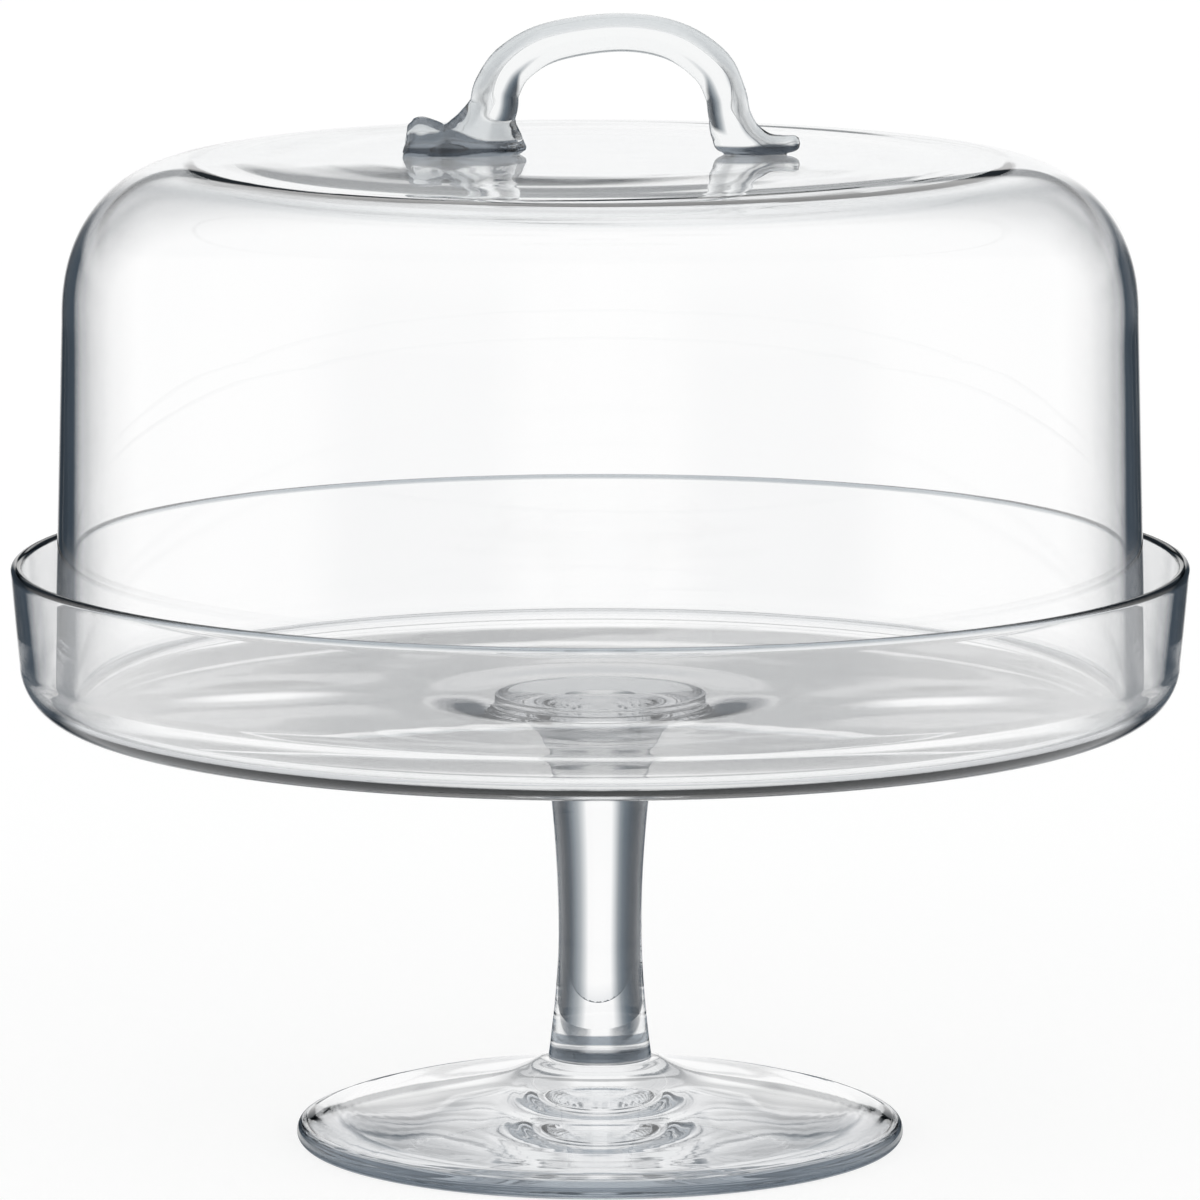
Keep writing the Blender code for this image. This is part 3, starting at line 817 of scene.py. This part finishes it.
# %% [markdown]
# ## Light table
# Under the foot lies a lit opal plate, seen only through the glass. It makes the
# foot bright. Under the foot's ring its glow is darker, a painted shadow of the ring.
# Behind the foot it takes the tones of the wall and the screens, a painted reflection
# as a polished table would show, and a painted dark line along its far edge, shade at
# the plate's edge, is the fine line that shows in the lower stem. Looked at steeply from
# further up it lets the view through, so that no plate shows in the tray.

# %% Light table
TABLE_HALF = (150 * MM, 131 * MM)
TABLE_LINE = 1.6 * MM
# painted shade: a dark line along the plate's far edge
TABLE_PAINTED_EDGE_LINE = "4a525a"
TABLE_EDGE_FADE = 0.4 * MM
TABLE_MIRROR_Y = (42 * MM, 46 * MM)     # from none to all
TABLE_SHEEN = (0.5, 0.6)        # seen flatter than about 24 degrees it shows, steeper than 30 it does not
TABLE_NEAR = (60 * MM, 40 * MM)         # but from this near it always shows
# painted shadow: the glow is dimmed to a dark grey under the foot's standing ring
TABLE_PAINTED_SHADOW = ((0, "f6f7f7"), (76, "f6f7f7"), (76.8, "5d656e"), (78.4, "5d656e"), (79, "f6f7f7"))
TABLE_Z = -0.4 * MM
TABLE_WAVER = 0.01              # share by which its far edge wavers
TABLE_WAVES = (700, 260)        # radians per metre


def lit_opal(name):
    """Lit opal glass with a painted shadow under the foot's ring, a painted reflection of the room behind the
    foot, and a painted dark line along its far edge.
    """
    mat = bpy.data.materials.new(name)
    tree = bare_tree(mat)
    place = add_node(tree, "ShaderNodeTexCoord")
    part = add_node(tree, "ShaderNodeSeparateXYZ", None, {0: (place, "Object")})
    away = add_node(tree, "ShaderNodeVectorMath", {"operation": "LENGTH"}, {0: (place, "Object")})
    # glow by distance from the axis, with the painted shadow of the foot's ring
    tone = tones_by(tree, (away, 1), TABLE_PAINTED_SHADOW, MM, (0, 1 / MM))
    aside = add_node(tree, "ShaderNodeMath", {"operation": "ARCTAN2"}, {0: (part, 0), 1: (part, 1)})
    # painted reflection: the wall and screens behind the foot, put into the glow
    painted_reflection = tones_by(tree, (aside, 0), ROUND, DEGREE)
    far = add_node(tree, "ShaderNodeMapRange",
                   {"From Min": TABLE_MIRROR_Y[0], "From Max": TABLE_MIRROR_Y[1]}, {"Value": (part, 1)})
    plain = add_node(tree, "ShaderNodeMix", {"data_type": "RGBA"}, {0: (far, 0), 6: (tone, 0), 7: (painted_reflection, 0)})
    line_y = TABLE_HALF[1] - TABLE_LINE
    edge = add_node(tree, "ShaderNodeMapRange", {"From Min": line_y, "From Max": line_y + TABLE_EDGE_FADE},
                    {"Value": (part, 1)})
    # the painted dark line along the far edge
    seen = add_node(tree, "ShaderNodeMix", {"data_type": "RGBA", 7: srgb(TABLE_PAINTED_EDGE_LINE)},
                    {0: (edge, 0), 6: (plain, 2)})
    glow = add_node(tree, "ShaderNodeEmission", {"Strength": 1.0}, {"Color": (seen, 2)})
    flat = add_node(tree, "ShaderNodeLayerWeight", {"Blend": 0.5})
    low = add_node(tree, "ShaderNodeMapRange", {"From Min": TABLE_SHEEN[0], "From Max": TABLE_SHEEN[1]},
                   {"Value": (flat, "Facing")})
    path = add_node(tree, "ShaderNodeLightPath")
    near = add_node(tree, "ShaderNodeMapRange", {"From Min": TABLE_NEAR[0], "From Max": TABLE_NEAR[1]},
                    {"Value": (path, "Ray Length")})
    shows = add_node(tree, "ShaderNodeMath", {"operation": "MAXIMUM"}, {0: (low, 0), 1: (near, 0)})
    bare = add_node(tree, "ShaderNodeBsdfTransparent")
    top = add_node(tree, "ShaderNodeMixShader", None, {0: (shows, 0), 1: (bare, 0), 2: (glow, 0)})
    add_node(tree, "ShaderNodeOutputMaterial", None, {"Surface": (top, 0)})
    return mat


def plate(name, half_x, half_y, count):
    """Flat grid of count x count points (x, y (1 + a cos(k x) cos(l x + 1)))."""
    u = np.linspace(-1, 1, count)
    x, y = np.meshgrid(u * half_x, u * half_y)
    y = y * (1 + TABLE_WAVER * np.cos(TABLE_WAVES[0] * x) * np.cos(TABLE_WAVES[1] * x + 1))
    verts = np.stack([x, y, 0 * x + TABLE_Z], axis=-1).reshape(-1, 3)
    i, j = np.meshgrid(np.arange(count - 1), np.arange(count - 1), indexing="ij")
    k = i * count + j
    quads = np.stack([k, k + 1, k + count + 1, k + count], axis=-1).reshape(-1, 4)
    mesh = bpy.data.meshes.new(name)
    mesh.from_pydata(verts.tolist(), [], quads.tolist())
    obj = bpy.data.objects.new(name, mesh)
    scene.collection.objects.link(obj)
    return obj


table = plate("light_table", *TABLE_HALF, 161)
table.data.materials.append(lit_opal("lit_opal_glass"))
table.visible_camera = False
table.visible_diffuse = False
table.visible_shadow = False
print(f"light table: {2 * TABLE_HALF[0] / MM:.0f} by {2 * TABLE_HALF[1] / MM:.0f} mm")


# %% [markdown]
# ## Camera
# A long lens from well back, a little above the rim. Distance, height, tilt and
# focal length were worked out from the ellipses of rim, foot and dome top.

# %% Camera
CAMERA_BACK = 2.400             # metres from the axis
CAMERA_UP = 0.499
CAMERA_TILT = 0.1486            # radians below level
FOCAL_FRAMES = 7.94             # focal length in frame widths
SENSOR = 36.0

lens = bpy.data.cameras.new("camera")
lens.sensor_fit = "HORIZONTAL"
lens.sensor_width = SENSOR
lens.lens = SENSOR * FOCAL_FRAMES
lens.clip_end = 20.0
camera = bpy.data.objects.new("camera", lens)
camera.location = (0.0, -CAMERA_BACK, CAMERA_UP)
camera.rotation_euler = (math.pi / 2 - CAMERA_TILT, 0.0, 0.0)
scene.collection.objects.link(camera)
scene.camera = camera
print(f"lens {lens.lens:.0f} mm at {CAMERA_BACK} m")
